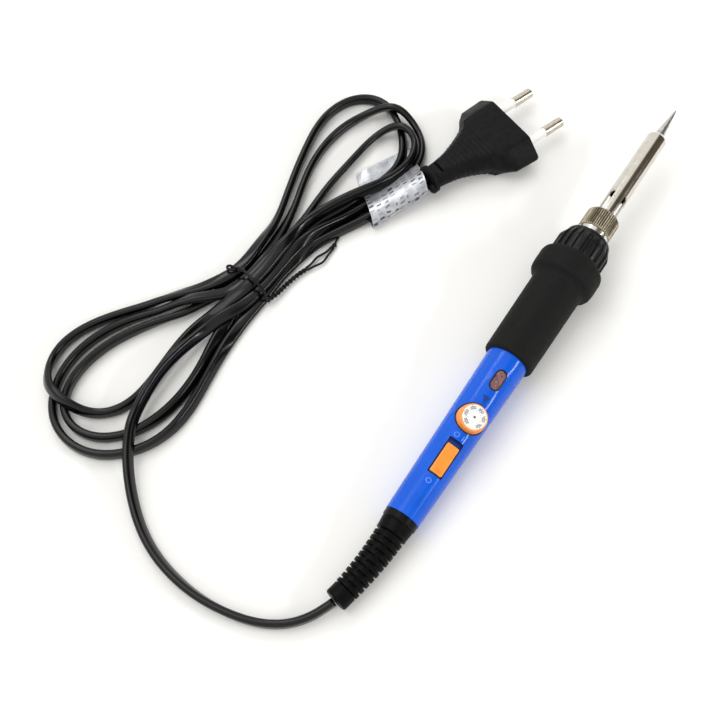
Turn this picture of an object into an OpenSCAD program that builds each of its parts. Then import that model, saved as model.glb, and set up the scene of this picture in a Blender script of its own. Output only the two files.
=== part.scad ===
// Mains soldering iron with a temperature dial, a slide switch and a flat twin cord.
// It lies on a surface at z = 0, on its grip collar and on the rear edge of its handle.
// The tip points towards +X and the cord is tied in a loose hank on the +Y side.

/* [Tip and sleeve] */
// Distance from the middle of the iron to the end of the tip
tip_end_x = 115; // [112:0.5:118]
// Radius of the tip where it leaves the sleeve
tip_root_r = 2.0; // [1.8:0.05:2.1]
// Outer radius of the metal sleeve
sleeve_r = 3.9; // [3.8:0.05:4.0]
// Number of vent slots round the sleeve
vent_slots = 4; // [2:1:6]

/* [Nuts] */
// Outer radius of the knurled sleeve nut
sleeve_nut_r = 6.4; // [6.2:0.1:7]
// Number of teeth in the knurl of the sleeve nut
knurl_teeth = 44; // [30:2:60]
// Outer radius of the black ring nut
ring_nut_r = 10.2; // [9.8:0.1:10.6]
// Number of finger grooves round the ring nut
ring_nut_grooves = 20; // [12:1:26]

/* [Handle] */
// Radius of the widest part of the grip collar
collar_r = 12.3; // [11.5:0.1:13]
// Radius of the grip at its rear end
grip_rear_r = 9.3; // [9:0.1:9.8]
// Radius of the blue handle where the grip ends
handle_front_r = 7.65; // [7.4:0.05:7.68]
// Radius of the blue handle at its rear end
handle_rear_r = 6.25; // [6.1:0.05:6.5]
// Turn of the handle about its own axis, which tips the dial towards -Y
roll = 17; // [0:1:25]

/* [Controls] */
// Radius of the temperature dial
dial_r = 5.2; // [4.8:0.05:5.25]
// Travel of the slide switch
switch_travel = 1.8; // [1:0.1:1.9]

/* [Cord and plug] */
// Width of the flat twin cord
cord_w = 4.7; // [4.5:0.1:5.3]
// Thickness of the flat twin cord
cord_t = 2.7; // [2.5:0.1:3.2]
// Distance between the two plug pins
pin_pitch = 18.4; // [17.5:0.1:19]
// Radius of the bare plug pins
pin_r = 2.0; // [1.95:0.05:2.05]

/* [Hidden] */
$fn = 64;

// Small gap between faces that are assembled but not joined, and a cut's overshoot
gap = 0.1;
over = 1;

// Stations along the iron's axis, from the tip back to the cord
sleeve_front_x = 100.5;
sleeve_step_x = 58.6;
tip_shoulder_x = 99.3;
tip_rear_x = 76;
tip_bore_end_x = 97;
slot_front_x = 68.5;
sleeve_nut_front_x = 57.8;
sleeve_nut_step_x = 55.8;
sleeve_nut_rear_x = 49.2;
spigot_front_x = 54.4;
spigot_rear_x = 49.0;
ring_nut_front_x = 46.2;
ring_nut_wall_x = 45.0;
ring_nut_rear_x = 34.5;
shell_front_x = 43.0;
thread_rear_x = 34.3;
grip_front_x = 34.2;
collar_x = 28;
grip_rear_x = -11.9;
window_x = -22.6;
dial_x = -39.1;
switch_x = -56.4;
handle_rear_x = -79;
end_cap_rear_x = -81.6;
boot_collar_rear_x = -86;

// The iron rests on the collar and on the handle's rear edge, so its axis rises to the tip
tilt = atan((collar_r - handle_rear_r) / (collar_x - handle_rear_x));
axis_z = collar_r * cos(tilt) - collar_x * sin(tilt);
// The whole iron is moved along X so that the origin is below the middle of its length
centre_shift = -0.1;

// Sleeve, tip and heater
sleeve_bore_r = 3.3;
sleeve_neck_r = 3.7;
sleeve_flange_r = 5.2;
sleeve_nose_r = 2.9;
nose_len = 1.5;
slot_w = 2.0;
slot_turn = 38;
shank_r = 3.1;
heater_r = 2.0;
tip_bore_r = 2.08;
tip_point_r = 0.4;
heater_rear_x = 22;
heater_front_x = 96.4;

// Collar that carries the two nuts, and the ceramic bush inside it
collar_flange_r = 6.9;
collar_body_r = 6.1;
spigot_r = 5.35;
bush_r = 4.1;
bush_rear_x = 40;
bush_front_x = 48.8;
running = 0.07;

// Handle
thread_r = 8.2;
grip_bore_r = 7.7;
front_bore_r = 6.2;
rear_bore_r = 5.3;
cap_r = 6.1;
cap_bore_r = 4.35;

// Controls, measured from the axis along the dial's direction
window_len = 7.5;
window_w = 3.3;
window_top = 7.2;
dial_bottom = 3.0;
dial_top = 9.4;
dial_top_r = 4.5;
dial_face_r = 4.3;
dial_face_t = 0.25;
dial_hole_r = 5.6;
pot_r = 4.2;
pot_top = 2.0;
pot_shaft_r = 1.5;
button_len = 11.4;
button_w = 4.6;
button_bottom = 5.6;
button_top = 7.3;
slider_len = 3;
slider_w = 2;
slider_bottom = 1.7;
can_len = 13;
can_w = 6.4;
can_top = 2.8;
slot_clear = 0.3;

// Circuit board
board_rear_x = -73;
board_front_x = -13;
board_w = 8.8;
board_t = 1.0;
board_top = -0.8;

// Boot: a ribbed taper that bends towards +Y on its way back
boot_bend = 12;
boot_ribs = 10;
boot_sides = 16;
boot_pitch = 2.25;
rib_start = 1.2;
boot_len = 27.8;
boot_bend_r = boot_len / (boot_bend * PI / 180);
boot_front_r = 5.3;
boot_rear_r = 4.2;
boot_collar_r = 5.5;
boot_neck_r = 4.3;
boot_flange_r = 4.8;
boot_flange_front_x = -77;
rib_t = 1.2;
rib_depth = 0.9;
end_block_len = 4.6;

// Route of the cord from the boot to the hank: x, y and height of its middle
lead_points = [
    [-114, 3, 4.3], [-120, 5, 3.2], [-126, 9, 2.5], [-131, 15, 2.4], [-134, 22, 2.4],
    [-136, 31, 2.4], [-137, 41, 2.4], [-136, 51, 2.4], [-134, 60, 2.4], [-130, 69, 2.4],
    [-126, 75, 2.7], [-121, 81, 3.6], [-116, 86, 5.2], [-111, 90, 7.0]];

// Route of the cord from the hank to the plug
tail_points = [
    [-4, 86, 2.4], [4, 82, 2.4], [12, 78, 2.5], [20, 74.5, 2.9], [27, 71.5, 3.9],
    [34, 68.3, 5.6], [40.3, 65.3, 6.8]];

// Hank: middle of each end, its radius, and the waist at the tie
hank_left = [[-98, 105, 22], [-92, 119, 20]];
hank_right = [[47, 96, 20], [40, 101, 18]];
hank_waist = [-34, 95];
waist_r = 7.5;
hank_bottom = 0.8;
hank_top = 10.4;

// Twist tie
tie_turn = -12;
tie_wall = 0.8;
tie_w = 1.6;
tie_wire_r = 0.9;
tie_tail = [[-35, 87, 2.5], [-25, 87, 2.2], [-18, 84.5, 1.8], [-12, 81.5, 1.4], [-7, 80.5, 1.2],
            [1, 79.5, 1.2]];

// Rating tag: a strip folded round the cord, with its flag lying towards +Y
tag_at = [23.5, 73];
tag_turn = -24;
tag_len = 25;
tag_flag = 18;
tag_t = 0.5;
tag_loop_w = 6.5;
tag_loop_h = 7.2;

// Plug: middle of its face and its direction
plug_at = [79, 52];
plug_turn = -19;
plug_w = 35.3;
plug_h = 13.7;
plug_block_len = 12;
plug_ridge_x = -15.3;
plug_flat_w = 22.3;
plug_neck_x = -37.3;
plug_neck_r = 4.3;
plug_end_x = -41;
bead_r = 5.1;
pin_len = 19;
pin_bare_len = 9;
pin_core_r = 1.45;
pin_sleeve_r = 1.8;
pin_depth = 4;

// The iron's own frame, on the table and rolled about its axis: x runs along the axis
module on_axis() {
    translate([centre_shift, 0, axis_z]) rotate([0, -tilt, 0]) children();
}
module in_iron() {
    on_axis() rotate([roll, 0, 0]) children();
}

// A round bar along the axis, from x1 to x2
module rod(x1, x2, r) {
    translate([x1, 0, 0]) rotate([0, 90, 0]) cylinder(h = x2 - x1, r = r);
}

// A turned shape about the axis, from [radius, x] points
module turned(points) {
    rotate([0, 90, 0]) rotate_extrude() polygon(points);
}

// A flat shape with two round ends, lying along x
module stadium(len, w) {
    square([len - w, w], center = true);
    for (side = [-1, 1]) translate([side * (len - w) / 2, 0]) circle(d = w);
}

// Straight round wires through a list of points
module wire(points, r) {
    for (i = [0 : len(points) - 2]) {
        d = points[i + 1] - points[i];
        translate(points[i]) rotate([0, acos(d[2] / norm(d)), atan2(d[1], d[0])])
            cylinder(h = norm(d), r = r, $fn = 8);
    }
}

// Skin through rings of points, each ring running left, up, right and down across the heading
module skin(rings) {
    n = len(rings);
    m = len(rings[0]);
    sides = [for (i = [0 : n - 2]) for (k = [0 : m - 1]) let (j = (k + 1) % m)
        [i * m + k, (i + 1) * m + k, (i + 1) * m + j, i * m + j]];
    front = [for (k = [0 : m - 1]) k];
    back = [for (k = [m - 1 : -1 : 0]) (n - 1) * m + k];
    polyhedron(points = [for (ring = rings) each ring], faces = concat([front], sides, [back]));
}

// Cord swept along a route as an upright stadium of 10 sides
cord_sides = 10;
function cord_outline(a) = let (flat = (cord_w - cord_t) / 2)
    [cord_t / 2 * cos(a), cord_t / 2 * sin(a) + (sin(a) > 0.01 ? flat : sin(a) < -0.01 ? -flat : 0)];
function route_heading(points, i) = let (a = points[max(i - 1, 0)],
    b = points[min(i + 1, len(points) - 1)]) atan2(b[1] - a[1], b[0] - a[0]);
function cord_ring(points, i) = let (h = route_heading(points, i))
    [for (k = [0 : cord_sides - 1]) let (p = cord_outline(360 * k / cord_sides))
        points[i] + [-sin(h) * p[0], cos(h) * p[0], p[1]]];
module cord_tube(points) {
    skin([for (i = [0 : len(points) - 1]) cord_ring(points, i)]);
}

module tip() {
    color([0.80, 0.80, 0.80]) in_iron() difference() {
        turned([[0, tip_rear_x], [shank_r, tip_rear_x], [shank_r, tip_shoulder_x],
                [tip_root_r, tip_shoulder_x], [tip_root_r, sleeve_front_x + 0.3],
                [tip_point_r, tip_end_x - 0.8], [tip_point_r * 0.6, tip_end_x], [0, tip_end_x]]);
        rod(tip_rear_x - over, tip_bore_end_x, tip_bore_r);
    }
}

module tip_sleeve() {
    flange_front = sleeve_nut_step_x - gap;
    flange_rear = spigot_front_x + gap;
    color([0.75, 0.73, 0.70]) in_iron() difference() {
        turned([[sleeve_bore_r, flange_rear], [sleeve_flange_r, flange_rear],
                [sleeve_flange_r, flange_front], [sleeve_neck_r, flange_front],
                [sleeve_neck_r, sleeve_step_x - gap], [sleeve_r, sleeve_step_x],
                [sleeve_r, sleeve_front_x - nose_len], [sleeve_nose_r, sleeve_front_x],
                [tip_root_r + gap, sleeve_front_x], [tip_root_r + gap, tip_shoulder_x + gap],
                [sleeve_bore_r, tip_shoulder_x + gap]]);
        for (i = [0 : vent_slots - 1]) rotate([slot_turn + i * 360 / vent_slots, 0, 0]) {
            translate([flange_front + gap, -slot_w / 2, 0])
                cube([slot_front_x - slot_w / 2 - flange_front - gap, slot_w, sleeve_r + over]);
            translate([slot_front_x - slot_w / 2, 0, 0]) cylinder(h = sleeve_r + over, d = slot_w);
        }
    }
}

module sleeve_nut() {
    chamfer = 0.7;
    tooth = 0.25;
    // The turned blank clears the teeth by this much, so only its cones cut them.
    clear = 0.4;
    color([0.62, 0.58, 0.47]) in_iron() difference() {
        intersection() {
            translate([sleeve_nut_rear_x - over, 0, 0]) rotate([0, 90, 0])
                linear_extrude(sleeve_nut_front_x - sleeve_nut_rear_x + 2 * over)
                    polygon([for (i = [0 : 2 * knurl_teeth - 1])
                        let (r = sleeve_nut_r - (i % 2) * tooth, a = 180 * i / knurl_teeth)
                        [r * cos(a), r * sin(a)]]);
            turned([[0, sleeve_nut_rear_x], [sleeve_nut_r - chamfer, sleeve_nut_rear_x],
                    [sleeve_nut_r + clear, sleeve_nut_rear_x + chamfer + clear],
                    [sleeve_nut_r + clear, sleeve_nut_front_x - chamfer - clear],
                    [sleeve_nut_r - chamfer, sleeve_nut_front_x], [0, sleeve_nut_front_x]]);
        }
        rod(sleeve_nut_rear_x - over, sleeve_nut_step_x, spigot_r + running);
        rod(sleeve_nut_rear_x, sleeve_nut_front_x + over, sleeve_neck_r + running);
    }
}

module heater_core() {
    color([0.93, 0.91, 0.86]) in_iron() rod(heater_rear_x, heater_front_x, heater_r);
}

module heater_bush() {
    color([0.90, 0.87, 0.80]) in_iron() difference() {
        rod(bush_rear_x, bush_front_x, bush_r);
        rod(bush_rear_x - over, bush_front_x + over, heater_r + 0.03);
    }
}

module threaded_collar() {
    color([0.78, 0.76, 0.72]) in_iron() difference() {
        turned([[0, shell_front_x], [collar_flange_r, shell_front_x],
                [collar_flange_r, ring_nut_wall_x - gap], [collar_body_r, ring_nut_wall_x - gap],
                [collar_body_r, spigot_rear_x], [spigot_r, spigot_rear_x],
                [spigot_r, spigot_front_x], [0, spigot_front_x]]);
        rod(shell_front_x - over, spigot_front_x + over, bush_r + 0.03);
    }
}

module ring_nut() {
    groove = 0.8;
    rib_share = 0.5;
    front_r = 8.2;
    chamfer_x = 41.6;
    turn = 360 / ring_nut_grooves;
    color([0.08, 0.08, 0.08]) in_iron() difference() {
        turned([[0, ring_nut_rear_x], [ring_nut_r, ring_nut_rear_x], [ring_nut_r, chamfer_x],
                [front_r, ring_nut_front_x], [0, ring_nut_front_x]]);
        rod(ring_nut_rear_x - over, ring_nut_wall_x, thread_r + running);
        rod(ring_nut_rear_x, ring_nut_front_x + over, collar_body_r + 0.35);
        for (i = [0 : ring_nut_grooves - 1]) rotate([i * turn, 0, 0])
            translate([ring_nut_rear_x - over, -PI * ring_nut_r * rib_share / ring_nut_grooves,
                       ring_nut_r - groove])
                cube([ring_nut_front_x - ring_nut_rear_x + 2 * over,
                      2 * PI * ring_nut_r * rib_share / ring_nut_grooves, groove + over]);
    }
}

module grip() {
    round_r = 1.2;
    neck_r = 9.65;
    color([0.11, 0.11, 0.11]) in_iron() difference() {
        turned([[0, grip_rear_x], [grip_rear_r - round_r, grip_rear_x],
                for (a = [-60 : 30 : 0]) [grip_rear_r - round_r + round_r * cos(a),
                                          grip_rear_x + round_r + round_r * sin(a)],
                [neck_r, 22], [neck_r + 0.35, 23.2], [10.7, 23.9], [11.6, 24.6],
                [12.05, 25.4], [12.2, 26.6], [collar_r, collar_x], [collar_r, 32.2],
                [12.05, 33.2], [11.4, 33.9], [10.6, grip_front_x], [0, grip_front_x]]);
        rod(grip_rear_x - over, grip_front_x + over, grip_bore_r);
    }
}

module handle_shell() {
    recess_len = button_len + switch_travel + 0.8;
    color([0.12, 0.36, 0.88]) in_iron() difference() {
        turned([[0, handle_rear_x], [handle_rear_r, handle_rear_x],
                [handle_front_r, grip_rear_x], [handle_front_r, thread_rear_x],
                [thread_r, thread_rear_x], [thread_r, shell_front_x], [0, shell_front_x]]);
        rod(handle_rear_x - over, -8, rear_bore_r - 0.3);
        rod(-74, -8, rear_bore_r);
        rod(-10, shell_front_x + over, front_bore_r);
        translate([window_x, 0, 0]) linear_extrude(handle_front_r + over)
            stadium(window_len + 0.1, window_w + 0.1);
        translate([dial_x, 0, dial_bottom - 0.4]) cylinder(h = 10, r = dial_hole_r);
        translate([switch_x - button_len / 2 - 0.4, -button_w / 2 - 0.35, button_bottom - 1.5])
            cube([recess_len, button_w + 0.7, 10]);
    }
}

module indicator_window() {
    color([0.55, 0.38, 0.36]) in_iron() translate([window_x, 0, rear_bore_r + 0.1])
        linear_extrude(window_top - rear_bore_r - 0.1) stadium(window_len, window_w);
}

module indicator_lamp() {
    lamp_r = 1.9;
    color([0.85, 0.60, 0.45]) in_iron() translate([0, 0, 3.0])
        rod(window_x - 4, window_x + 4, lamp_r);
}

module temperature_dial() {
    color([0.90, 0.50, 0.22]) in_iron() translate([dial_x, 0, 0]) difference() {
        rotate_extrude() polygon([[0, dial_bottom], [dial_r, dial_bottom], [dial_r, 6.4],
                                  [dial_top_r + 0.3, dial_top - 0.4], [dial_top_r, dial_top],
                                  [0, dial_top]]);
        translate([0, 0, dial_top - dial_face_t]) cylinder(h = over, r = dial_face_r);
        translate([0, 0, dial_bottom - over]) cylinder(h = over + 2.6, r = pot_shaft_r + 0.02);
    }
}

module dial_face() {
    color([0.95, 0.95, 0.93]) in_iron() translate([dial_x, 0, dial_top - dial_face_t])
        cylinder(h = dial_face_t, r = dial_face_r - 0.02);
}

module potentiometer() {
    color([0.20, 0.30, 0.25]) in_iron() translate([dial_x, 0, 0]) difference() {
        translate([0, 0, board_top]) cylinder(h = pot_top - board_top, r = pot_r);
        translate([0, 0, 0.2]) cylinder(h = pot_top, r = pot_shaft_r + running);
    }
}

module potentiometer_shaft() {
    color([0.92, 0.92, 0.90]) in_iron() translate([dial_x, 0, 0.4])
        cylinder(h = dial_bottom + 2.5 - 0.4, r = pot_shaft_r);
}

module switch_button() {
    color([1.0, 0.52, 0.16]) in_iron()
        translate([switch_x - button_len / 2, -button_w / 2, button_bottom])
            cube([button_len, button_w, button_top - button_bottom]);
}

module switch_slider() {
    color([0.15, 0.15, 0.15]) in_iron()
        translate([switch_x - slider_len / 2, -slider_w / 2, slider_bottom])
            cube([slider_len, slider_w, button_bottom - slider_bottom]);
}

module switch_body() {
    color([0.70, 0.70, 0.72]) in_iron() difference() {
        translate([switch_x - can_len / 2, -can_w / 2, board_top])
            cube([can_len, can_w, can_top - board_top]);
        translate([switch_x - slider_len / 2 - slot_clear, -slider_w / 2 - slot_clear,
                   slider_bottom - slot_clear])
            cube([slider_len + switch_travel + 2 * slot_clear, slider_w + 2 * slot_clear, 3]);
    }
}

module circuit_board() {
    color([0.10, 0.42, 0.22]) in_iron()
        translate([board_rear_x, -board_w / 2, board_top - board_t])
            cube([board_front_x - board_rear_x, board_w, board_t]);
}

module triac() {
    triac_r = 2.3;
    color([0.08, 0.08, 0.09]) in_iron() translate([-67.5, 0, board_top]) difference() {
        cylinder(h = 4.2, r = triac_r);
        translate([-triac_r - over, 1.2, -over]) cube([2 * triac_r + 2 * over, 3, 7]);
    }
}

module capacitor() {
    color([0.75, 0.30, 0.20]) in_iron() translate([-32.8, -1.5, board_top]) cube([5, 3, 3.8]);
}

module resistors() {
    color([0.75, 0.65, 0.50]) in_iron() for (side = [-1, 1])
        translate([0, side * 3, board_top + 0.9]) rod(-48.6, -44.6, 0.9);
}

module heater_wires() {
    color([0.85, 0.15, 0.12]) in_iron() for (side = [-1, 1])
        translate([0, side * 0.9, -1.0]) rod(board_front_x, heater_rear_x, 0.55);
}

module mains_wires() {
    color([0.35, 0.22, 0.12]) in_iron() for (side = [-1, 1])
        translate([0, side * 1.6, board_top - board_t / 2])
            rod(boot_flange_front_x, board_rear_x, 0.6);
}

module end_cap() {
    color([0.07, 0.07, 0.07]) in_iron() difference() {
        turned([[0, end_cap_rear_x], [cap_r - 0.5, end_cap_rear_x], [cap_r, end_cap_rear_x + 0.5],
                [cap_r, handle_rear_x], [0, handle_rear_x]]);
        rod(end_cap_rear_x - over, handle_rear_x + over, cap_bore_r);
    }
}

// One ring of the boot, at a distance s along its bend
function boot_ring(s, r) = let (a = s / boot_len * boot_bend,
    c = [boot_collar_rear_x - boot_bend_r * sin(a), boot_bend_r * (1 - cos(a)), 0])
    [for (k = [0 : boot_sides - 1]) let (t = 360 * k / boot_sides)
        c + [-sin(a) * r * cos(t), -cos(a) * r * cos(t), r * sin(t)]];
function rib_r(s) = boot_front_r + (boot_rear_r - boot_front_r) * s / boot_len;

module strain_relief() {
    flange_rear_x = boot_flange_front_x - 1.9;
    block_s = boot_len - end_block_len;
    color([0.06, 0.06, 0.06]) on_axis() {
        rod(flange_rear_x, boot_flange_front_x, boot_flange_r);
        rod(end_cap_rear_x, flange_rear_x, boot_neck_r);
        rod(boot_collar_rear_x, end_cap_rear_x, boot_collar_r);
        skin(concat([boot_ring(-0.5, rib_r(0) - rib_depth)],
            [for (i = [0 : boot_ribs - 1]) let (s = rib_start + i * boot_pitch)
                each [boot_ring(s, rib_r(s) - rib_depth), boot_ring(s, rib_r(s)),
                      boot_ring(s + rib_t, rib_r(s)), boot_ring(s + rib_t, rib_r(s) - rib_depth)]],
            [boot_ring(block_s, rib_r(block_s) - rib_depth), boot_ring(block_s, boot_rear_r),
             boot_ring(boot_len, boot_rear_r)]));
    }
}

module cord_lead() {
    color([0.05, 0.05, 0.05]) cord_tube(lead_points);
}

module cord_tail() {
    color([0.05, 0.05, 0.05]) cord_tube(tail_points);
}

module cord_hank() {
    color([0.05, 0.05, 0.05]) translate([0, 0, hank_bottom])
        linear_extrude(hank_top - hank_bottom)
            for (side = [hank_left, hank_right]) hull() {
                for (c = side) translate([c[0], c[1]]) circle(r = c[2], $fn = 32);
                translate(hank_waist) circle(r = waist_r, $fn = 32);
            }
}

module twist_tie() {
    outer_r = waist_r + tie_wall;
    color([0.04, 0.04, 0.04]) {
        translate([hank_waist[0], hank_waist[1], 0]) rotate([0, 0, tie_turn]) difference() {
            translate([-tie_w / 2, -outer_r, 0]) cube([tie_w, 2 * outer_r, hank_top + tie_wall]);
            translate([-tie_w, -waist_r, hank_bottom])
                cube([2 * tie_w, 2 * waist_r, hank_top - hank_bottom]);
        }
        wire(tie_tail, tie_wire_r);
    }
}

module rating_tag() {
    color([0.78, 0.79, 0.80]) translate([tag_at[0], tag_at[1], 0]) rotate([0, 0, tag_turn]) {
        difference() {
            translate([-tag_len / 2, -tag_loop_w / 2, 0]) cube([tag_len, tag_loop_w, tag_loop_h]);
            translate([-tag_len, -tag_loop_w / 2 + tag_t, tag_t])
                cube([2 * tag_len, tag_loop_w - 2 * tag_t, tag_loop_h - 2 * tag_t]);
        }
        translate([-tag_len / 2, tag_loop_w / 2, 0.3]) cube([tag_len, tag_flag, 2 * tag_t]);
    }
}

// The plug's own frame: its face is at x = 0 and its pins point along +x
module in_plug() {
    translate([plug_at[0], plug_at[1], plug_h / 2]) rotate([0, 0, plug_turn]) children();
}

// Half-width of the plug's waist, which curves in from the block to the neck
function waist(x) = let (u = (x - plug_neck_x) / (-plug_block_len - plug_neck_x))
    plug_neck_r + 0.7 + (plug_w / 2 - 2.2 - plug_neck_r) * pow(u, 2);

module plug_body() {
    side = [for (i = [0 : 8]) let (x = -plug_block_len + (plug_neck_x + plug_block_len) * i / 8)
        [x, waist(x)]];
    half = concat([[0, plug_w / 2], [-plug_block_len, plug_w / 2]], side);
    outline = concat(half, [for (i = [len(half) - 1 : -1 : 0]) [half[i][0], -half[i][1]]]);
    color([0.07, 0.07, 0.07]) in_plug() difference() {
        union() {
            intersection() {
                translate([0, 0, -plug_h / 2]) linear_extrude(plug_h) polygon(outline);
                translate([0, plug_w, 0]) rotate([90, 0, 0]) linear_extrude(2 * plug_w)
                    polygon([[0, plug_h / 2], [plug_ridge_x, plug_h / 2],
                             [plug_neck_x, plug_neck_r + 0.3], [plug_neck_x, -plug_neck_r - 0.3],
                             [plug_ridge_x, -plug_h / 2], [0, -plug_h / 2]]);
                rotate([90, 0, 90]) translate([0, 0, -50]) linear_extrude(60)
                    polygon([[-plug_w / 2, -1], [-plug_w / 2, 1], [-plug_flat_w / 2, plug_h / 2],
                             [plug_flat_w / 2, plug_h / 2], [plug_w / 2, 1], [plug_w / 2, -1],
                             [plug_flat_w / 2, -plug_h / 2], [-plug_flat_w / 2, -plug_h / 2]]);
            }
            rod(plug_end_x, plug_neck_x, bead_r);
        }
        for (side = [-1, 1]) translate([0, side * pin_pitch / 2, 0])
            rod(-pin_depth, over, pin_core_r);
    }
}

module plug_pins() {
    chamfer = 0.5;
    color([0.72, 0.69, 0.60]) in_plug() for (side = [-1, 1])
        translate([0, side * pin_pitch / 2, 0])
            turned([[0, -pin_depth], [pin_core_r, -pin_depth],
                    [pin_core_r, pin_len - pin_bare_len], [pin_r, pin_len - pin_bare_len],
                    [pin_r, pin_len - chamfer], [pin_r - chamfer, pin_len], [0, pin_len]]);
}

module pin_sleeves() {
    color([0.96, 0.96, 0.94]) in_plug() for (side = [-1, 1])
        translate([0, side * pin_pitch / 2, 0]) difference() {
            rod(0, pin_len - pin_bare_len, pin_sleeve_r);
            rod(-over, pin_len, pin_core_r);
        }
}

tip();
tip_sleeve();
sleeve_nut();
heater_core();
heater_bush();
threaded_collar();
ring_nut();
grip();
handle_shell();
indicator_window();
indicator_lamp();
temperature_dial();
dial_face();
potentiometer();
potentiometer_shaft();
switch_button();
switch_body();
switch_slider();
circuit_board();
triac();
capacitor();
resistors();
heater_wires();
mains_wires();
end_cap();
strain_relief();
cord_lead();
cord_hank();
cord_tail();
twist_tie();
rating_tag();
plug_body();
plug_pins();
pin_sleeves();
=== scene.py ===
"""Looks of a mains soldering iron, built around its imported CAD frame."""

import math

import bmesh
import bpy
import numpy as np
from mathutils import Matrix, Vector


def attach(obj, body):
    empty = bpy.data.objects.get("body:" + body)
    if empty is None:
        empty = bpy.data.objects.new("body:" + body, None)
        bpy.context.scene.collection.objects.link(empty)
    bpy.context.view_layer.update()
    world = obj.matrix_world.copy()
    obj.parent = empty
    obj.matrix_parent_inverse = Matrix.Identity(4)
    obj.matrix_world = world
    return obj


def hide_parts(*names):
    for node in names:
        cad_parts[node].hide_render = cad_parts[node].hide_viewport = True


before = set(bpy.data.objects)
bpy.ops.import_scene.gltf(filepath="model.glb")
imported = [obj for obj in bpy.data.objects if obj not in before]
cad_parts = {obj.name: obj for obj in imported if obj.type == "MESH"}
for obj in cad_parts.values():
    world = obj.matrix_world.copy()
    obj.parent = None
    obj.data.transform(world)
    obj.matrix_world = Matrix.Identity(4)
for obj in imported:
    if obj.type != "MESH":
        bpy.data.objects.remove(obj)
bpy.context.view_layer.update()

MM = 0.001
scene = bpy.context.scene


# ---------------------------------------------------------------- camera

CAMERA_AT = Vector((-181.9, -52.8, 345.7)) * MM
CAMERA_LOOKS_AT = Vector((-35.9, 45.7, 0.0)) * MM
camera_data = bpy.data.cameras.new("camera")
camera_data.lens = 54.0
camera_data.sensor_width = 36.0
camera_data.clip_start = 0.01
camera = bpy.data.objects.new("camera", camera_data)
camera.location = CAMERA_AT
camera.rotation_euler = (CAMERA_LOOKS_AT - CAMERA_AT).to_track_quat("-Z", "Y").to_euler()
scene.collection.objects.link(camera)
scene.camera = camera


# ---------------------------------------------------------------- helpers

def make_object(name, verts, faces, material=None, crease=180):
    """A mesh object from points in millimetres."""
    mesh = bpy.data.meshes.new(name)
    mesh.from_pydata([tuple(float(c) * MM for c in v) for v in verts], [], faces)
    mesh.update()
    work = bmesh.new()
    work.from_mesh(mesh)
    bmesh.ops.recalc_face_normals(work, faces=work.faces)
    work.to_mesh(mesh)
    work.free()
    mesh.shade_smooth()
    mesh.set_sharp_from_angle(angle=math.radians(crease))
    obj = bpy.data.objects.new(name, mesh)
    scene.collection.objects.link(obj)
    if material:
        mesh.materials.append(material)
    return obj


def grid_faces(rows, cols, close_rows=False, close_cols=True):
    """Quads between rows of points, closed round or left open in each direction."""
    faces = []
    for i in range(rows if close_rows else rows - 1):
        for k in range(cols if close_cols else cols - 1):
            a, b = i * cols + k, i * cols + (k + 1) % cols
            c, d = (i + 1) % rows * cols + (k + 1) % cols, (i + 1) % rows * cols + k
            faces.append((a, d, c, b))
    return faces


def capped_faces(rows, cols, start=0):
    """Quads between closed rings and a cap at each end, for points counted from start."""
    last = (rows - 1) * cols
    faces = grid_faces(rows, cols)
    faces += [tuple(range(cols)), tuple(last + k for k in reversed(range(cols)))]
    return [tuple(start + v for v in face) for face in faces]


def full_turn(count):
    """Angles that divide a full turn evenly."""
    return np.arange(count) * 2 * np.pi / count


def unit_rows(vectors):
    return vectors / np.linalg.norm(vectors, axis=1)[:, None]


def tube(name, points, radius, material, sides=10):
    """A round wire through the points, with a parallel frame along it and closed ends."""
    points = np.array(points, float)
    heading = unit_rows(np.gradient(points, axis=0))
    turn = full_turn(sides)
    side = np.cross(heading[0], [0.3, 0.2, 1.0])  # a direction that no wire starts along
    rings = []
    for point, ahead in zip(points, heading):
        side = side - ahead * side.dot(ahead)
        side /= np.linalg.norm(side)
        other = np.cross(ahead, side)
        rings.append(point + radius * (np.cos(turn)[:, None] * side + np.sin(turn)[:, None] * other))
    return make_object(name, np.vstack(rings), capped_faces(len(points), sides), material)


def shell(name, sheet, thickness, material):
    """A thin closed shell round a sheet, which is given as rows of points."""
    rows, cols = sheet.shape[:2]
    normal = np.cross(np.gradient(sheet, axis=0), np.gradient(sheet, axis=1))
    normal /= np.maximum(np.linalg.norm(normal, axis=2), 1e-9)[:, :, None]
    verts = np.vstack([(sheet + normal * thickness / 2).reshape(-1, 3),
                       (sheet - normal * thickness / 2).reshape(-1, 3)])
    n = rows * cols
    top = grid_faces(rows, cols, close_cols=False)
    faces = top + [tuple(n + v for v in reversed(f)) for f in top]
    rim = ([k for k in range(cols)] + [i * cols + cols - 1 for i in range(1, rows)]
           + [n - 1 - k for k in range(1, cols)] + [i * cols for i in range(rows - 2, 0, -1)])
    faces += [(a, b, n + b, n + a) for a, b in zip(rim, rim[1:] + rim[:1])]
    return make_object(name, verts, faces, material, crease=40)


# The iron's own frame: x along its axis, and z towards the dial. It lies tilted on the table.
COLLAR_R, COLLAR_X, REAR_R, REAR_X = 12.3, 28.0, 6.25, -79.0
TILT = math.atan((COLLAR_R - REAR_R) / (COLLAR_X - REAR_X))
AXIS_Z = COLLAR_R * math.cos(TILT) - COLLAR_X * math.sin(TILT)
SHIFT_X = -0.1
ROLL = math.radians(17)


def in_iron(points, roll=ROLL):
    """Moves points from the iron's own frame to the shared one."""
    x, y, z = np.asarray(points, float).T
    across = y * math.cos(roll) - z * math.sin(roll)
    up = y * math.sin(roll) + z * math.cos(roll)
    return np.stack([x * math.cos(TILT) - up * math.sin(TILT) + SHIFT_X, across,
                     AXIS_Z + x * math.sin(TILT) + up * math.cos(TILT)], axis=1)


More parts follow.
